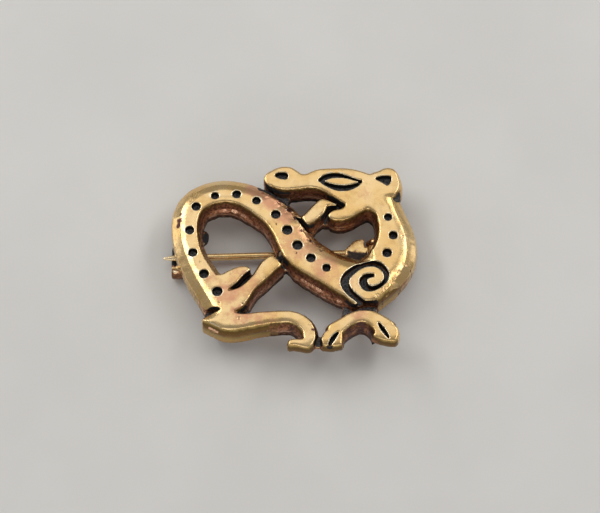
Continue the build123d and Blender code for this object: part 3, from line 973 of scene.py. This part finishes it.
def mask_casting(mesh, drawn_relief):
    """Work out where the casting is walled, sooty, worn, copper-coloured and painted with light and
    shade.
    """
    relief = relief_of(mesh)
    pairs = edges_of(mesh)
    points = points_of(mesh)
    normals = normals_of(mesh)
    height = points[:, 2]
    upward = normals[:, 2]
    facing = -normals[:, 1]
    proud = smoothed(proud_of_neighbours(points, normals, pairs), pairs, 1)
    sky, room = sky_and_room(relief, points + JUST_OFF * normals)
    sky = smoothed(sky, pairs, 2)
    room = smoothed(room, pairs, 5)

    # The plate's own metal, its upper part and its back
    plate = rising(*PLATE, height)
    high = rising(*HIGH, height)
    back = rising(*FLOOR_UP, -upward)

    # Walls, and those of them that are shut in
    stepped = rising(*STEPPED_FROM, patches(STEPPED, points)) * plate
    stepped *= falling(*STEP_TOP, height)
    wall = np.maximum(falling(*WALL_UP, upward) * plate, stepped)
    inner = np.maximum(falling(*SHUT_IN, room), stepped)
    inner *= 1 - patches(OPEN_WALLS, points)

    # Soot on level floors, in narrow places, on the webs and down the walls beside a groove
    floor_cells = low_floors(drawn_relief)
    low_floor = rising(*FLOOR_UP, upward) * falling(*FLOOR_TOP, height) * plate
    low_floor *= heights_at(floor_cells, points[:, 0], points[:, 1])
    narrow = rising(*NARROW, 1 - sky) * plate * inner
    sooty = patches(SOOTY, points) * falling(*MARKS_TOP, height) * plate
    sooty *= 1 - 0.8 * wall * rising(*FACING_FRONT, facing)
    beside = falling(*GROOVE_WALL_WIDTH, away_from(floor_cells, 0.6, points))
    beside *= rising(*LEANING, 1 - upward) * falling(*IN_A_GROOVE, room)
    beside *= rising(*GROOVE_WALL_FOOT, height) * falling(*GROOVE_WALL_TOP, height)
    soot = np.maximum.reduce([narrow, sooty, beside, low_floor]) * (1 - back)

    # Behind the plate: painted shade and a painted highlight
    shade_behind = patches(DARK_BEHIND, points) * falling(*PAD_TOP, height) * (1 - back)
    painted_highlight = patches(BRIGHT_BEHIND, points) * falling(*CATCH_TOP, height)

    # Copper colour: the bare nick, painted highlight lines along the walls and pink walls
    copper_and_sheen = patches(NICK, points) * wall * rising(*NICK_FOOT, height) * falling(*NICK_TOP, height)
    upper, lower = (np.abs(height - line) for line in GLOW_HEIGHTS)
    lines = np.maximum(falling(0.15, 0.40, upper), 0.9 * falling(0.10, 0.35, lower))
    glow = patches(GLOWS, points) * wall * lines
    pink = patches(PINK_WALLS, points) * wall * falling(*MARKS_TOP, height)
    copper = [NICK_COLOUR * copper_and_sheen, GLOW_COLOUR * glow, PINK_COLOUR * pink]

    # Rubbed edges and painted highlights: proud edges, cut rims, the catch's lower part, glints
    cut = away_from(relief < CUT_BELOW, 1.0, points)
    rim = falling(*RIM_WIDTH, cut) * rising(*RIM_UP, upward) * high
    edge = rising(*PROUD, proud) * np.maximum(high, 0.8 * (1 - plate)) * (1 - shade_behind)
    glints = patches(GLINTS, points) * rising(*GLINT_FOOT, height)
    wear_and_highlights = [edge, rim, GLINT_COLOUR * painted_highlight, GLINT_COLOUR * glints]
    # Stains, with the painted shade behind the plate
    stains_and_shade = [patches(STAINS, points) * plate, patches(PITS, points) * high]
    stains_and_shade += [shade_behind, patches(DARK_WALLS, points) * wall]

    write_mask(mesh, "depth", (FACE - height) / FACE)
    write_mask(mesh, "wall", wall * (1 - back))
    write_mask(mesh, "inner", inner)
    # Soot, with the painted shade behind the plate
    write_mask(mesh, "recess", np.maximum(soot, 0.9 * shade_behind))
    write_mask(mesh, "floor", np.maximum(low_floor, 0.7 * sooty))
    write_mask(mesh, "under", np.where(height < -0.1, 1.0, BACK_COLOUR * back) * (1 - painted_highlight))
    write_mask(mesh, "edge", np.maximum.reduce(wear_and_highlights))
    write_mask(mesh, "blush", patches(BLUSH, points) * rising(*FACE_UP, upward))
    write_mask(mesh, "stain_and_shade", np.maximum.reduce(stains_and_shade))
    write_mask(mesh, "shade", smoothed(rising(*SHADED_FRONT, facing), pairs, 3))
    write_mask(mesh, "copper_and_sheen", np.maximum.reduce(copper))
    write_mask(mesh, "ragged", patches(RAGGED, points) * plate)


def make_casting():
    solid = drawn_mesh("dragon_casting")
    relief = relief_of(solid)
    mesh = remeshed(solid, CASTING_VOXEL)
    shape_casting(mesh, relief)
    mask_casting(mesh, relief)
    mesh = lightened(mesh, CASTING_TRIANGLES)
    piece = finished("casting_metal", mesh, brass("worn_brass_and_painted_light"))
    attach(piece, "casting")
    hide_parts("dragon_casting")


# Pin

# Along x, the leaf's ends and the wire's bright tip; along y, the leaf's near half and far rim
LEAF_START = (7.4, 8.0)
LEAF_END = (11.1, 11.4)
LEAF_NEAR = (3.7, 4.2)
LEAF_FAR_RIM = (4.8, 5.0)
TIP_END = (-20.6, -20.0)


def make_pin():
    mesh = lightened(remeshed(drawn_mesh("pin"), PIN_VOXEL), PIN_TRIANGLES)
    pairs = edges_of(mesh)
    points = smoothed(points_of(mesh), pairs, STEP_ROUNDS)
    write_points(mesh, points)
    normals = normals_of(mesh)
    x, y = points[:, 0], points[:, 1]
    proud = smoothed(proud_of_neighbours(points, normals, pairs), pairs, 2)
    worn = smoothed(rising(*PROUD_WIRE, proud), pairs, 3)
    leaf = rising(*LEAF_START, x) * falling(*LEAF_END, x)
    near = falling(*LEAF_NEAR, y)
    far_rim = rising(*LEAF_FAR_RIM, y) * leaf
    tip = falling(*TIP_END, x)
    upward = rising(0.2, 0.8, normals[:, 2])
    downward = rising(0.1, 0.5, -normals[:, 2])
    write_mask(mesh, "depth", 0.3 - 0.15 * leaf)
    write_mask(mesh, "wall", leaf * (1 - far_rim))
    write_mask(mesh, "recess", 0.5 * leaf * upward * near)
    write_mask(mesh, "floor", 0.3 * leaf * upward)
    # Painted shade on the wire's downward side; the leaf's near half made darker
    write_mask(mesh, "under", np.maximum(0.6 * downward * (1 - tip), 0.7 * leaf * near))
    # A painted highlight on the wire's tip and on the leaf's worn edge
    write_mask(mesh, "edge", np.maximum(0.3 * worn * leaf * (1 - near), 0.5 * tip))
    write_mask(mesh, "blush", np.maximum(0.1, 0.3 * leaf))
    for name in ("inner", "copper_and_sheen", "ragged", "shade", "stain_and_shade"):
        write_mask(mesh, name, np.zeros(len(points)))
    piece = finished("pin_metal", mesh, brass("pin_brass"))
    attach(piece, "pin")
    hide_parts("pin")


def finished(name, mesh, material):
    """Return the piece: the mesh brought from the drawing's millimetres to the frame."""
    mesh.transform(Matrix.Translation(Vector(ORIGIN)))
    mesh.transform(Matrix.Scale(MM, 4))
    write_points(mesh, np.clip(points_of(mesh), *np.array(cad_box)))
    mesh.materials.clear()
    mesh.materials.append(material)
    mesh.polygons.foreach_set("use_smooth", np.ones(len(mesh.polygons), bool))
    mesh.update()
    piece = bpy.data.objects.new(name, mesh)
    bpy.context.scene.collection.objects.link(piece)
    return piece


# Stage

FLOOR_HALF = 1.6
FLOOR_CLOUDS = (30.0, 3.0, 0.55)
FLOOR_TONES = ((0.78, 0.77, 0.75, 1), (0.82, 0.81, 0.79, 1))
FLOOR_ROUGHNESS = 0.7

# Soft boxes: name, direction from the brooch, width and height, brightness, colour and roll.
# The strips are rolled to lie along the reflections that the outer shoulders give.
LAMP_DISTANCE = 0.55
LAMPS = [
    ("back_box", (-0.05, 0.50, 0.86), (0.44, 0.32), 0.74, (1.0, 0.99, 0.97), 0),
    ("left_strip", (-0.60, 0.40, 0.69), (0.13, 0.50), 3.4, (1.0, 0.99, 0.96), -54),
    ("left_low", (-0.90, 0.36, 0.20), (0.20, 0.16), 1.3, (1.0, 0.98, 0.94), 0),
    ("right_strip", (0.60, 0.36, 0.71), (0.13, 0.54), 3.2, (1.0, 0.98, 0.95), 54),
    ("right_low", (0.90, 0.36, 0.20), (0.20, 0.16), 0.9, (1.0, 0.97, 0.93), 0),
    ("front_box", (-0.12, -0.70, 0.70), (0.26, 0.10), 1.1, (1.0, 0.98, 0.95), 0),
    ("front_low", (0.0, -0.92, 0.36), (0.60, 0.12), 1.8, (1.0, 0.97, 0.93), 0),
]
LAMP_AIM = (0, 0, 0.004)
SKY_COLOUR = (0.98, 0.97, 0.96, 1)
SKY_STRENGTH = 0.30

# The photo's camera: it looks down at the middle of the face. The focal length is in pixels.
CAMERA_ELEVATION = 63.0
CAMERA_DISTANCE = 0.45
FOCAL_LENGTH = 2745
PHOTO_WIDTH = 600
SENSOR_WIDTH = 36.0


def make_floor():
    half = FLOOR_HALF
    mesh = bpy.data.meshes.new("floor")
    corners = [(-half, -half, 0), (half, -half, 0), (half, half, 0), (-half, half, 0)]
    mesh.from_pydata(corners, [], [(0, 1, 2, 3)])
    floor = bpy.data.objects.new("floor", mesh)
    bpy.context.scene.collection.objects.link(floor)
    t = Tree("pale_floor")
    tone = t.ramp(t.noise(FLOOR_CLOUDS), 0.3, 0.7)
    t.give(t.shader.inputs["Base Color"], t.mix(tone, *FLOOR_TONES))
    t.shader.inputs["Roughness"].default_value = FLOOR_ROUGHNESS
    mesh.materials.append(t.material)


def make_lamp(name, way, size, brightness, colour, roll):
    """Add a soft box whose brightness is that of its surface, whatever its size."""
    lamp = bpy.data.objects.new(name, bpy.data.lights.new(name, "AREA"))
    lamp.data.shape = "RECTANGLE"
    lamp.data.size, lamp.data.size_y = size
    lamp.data.energy = brightness * math.pi * size[0] * size[1]
    lamp.data.color = colour
    lamp.location = Vector(way).normalized() * LAMP_DISTANCE
    facing = (Vector(LAMP_AIM) - lamp.location).to_track_quat("-Z", "Y")
    lamp.rotation_mode = "QUATERNION"
    lamp.rotation_quaternion = facing @ Quaternion((0, 0, 1), math.radians(roll))
    bpy.context.scene.collection.objects.link(lamp)


def make_light():
    world = bpy.data.worlds.new("studio")
    world.use_nodes = True
    sky = world.node_tree.nodes["Background"]
    sky.inputs["Color"].default_value = SKY_COLOUR
    sky.inputs["Strength"].default_value = SKY_STRENGTH
    bpy.context.scene.world = world
    for lamp in LAMPS:
        make_lamp(*lamp)


def make_camera():
    elevation = math.radians(CAMERA_ELEVATION)
    back = Vector((0, -math.cos(elevation), math.sin(elevation)))
    camera = bpy.data.objects.new("camera", bpy.data.cameras.new("camera"))
    camera.data.sensor_fit = "HORIZONTAL"
    camera.data.sensor_width = SENSOR_WIDTH
    camera.data.lens = SENSOR_WIDTH * FOCAL_LENGTH / PHOTO_WIDTH
    camera.data.clip_start = 0.01
    camera.data.clip_end = 10
    camera.location = Vector(ORIGIN * MM) + Vector((0, 0, FACE * MM)) + back * CAMERA_DISTANCE
    camera.rotation_mode = "QUATERNION"
    camera.rotation_quaternion = (-back).to_track_quat("-Z", "Y")
    bpy.context.scene.collection.objects.link(camera)
    bpy.context.scene.camera = camera


make_casting()
make_pin()
make_floor()
make_light()
make_camera()
bpy.context.scene.view_settings.view_transform = "Standard"
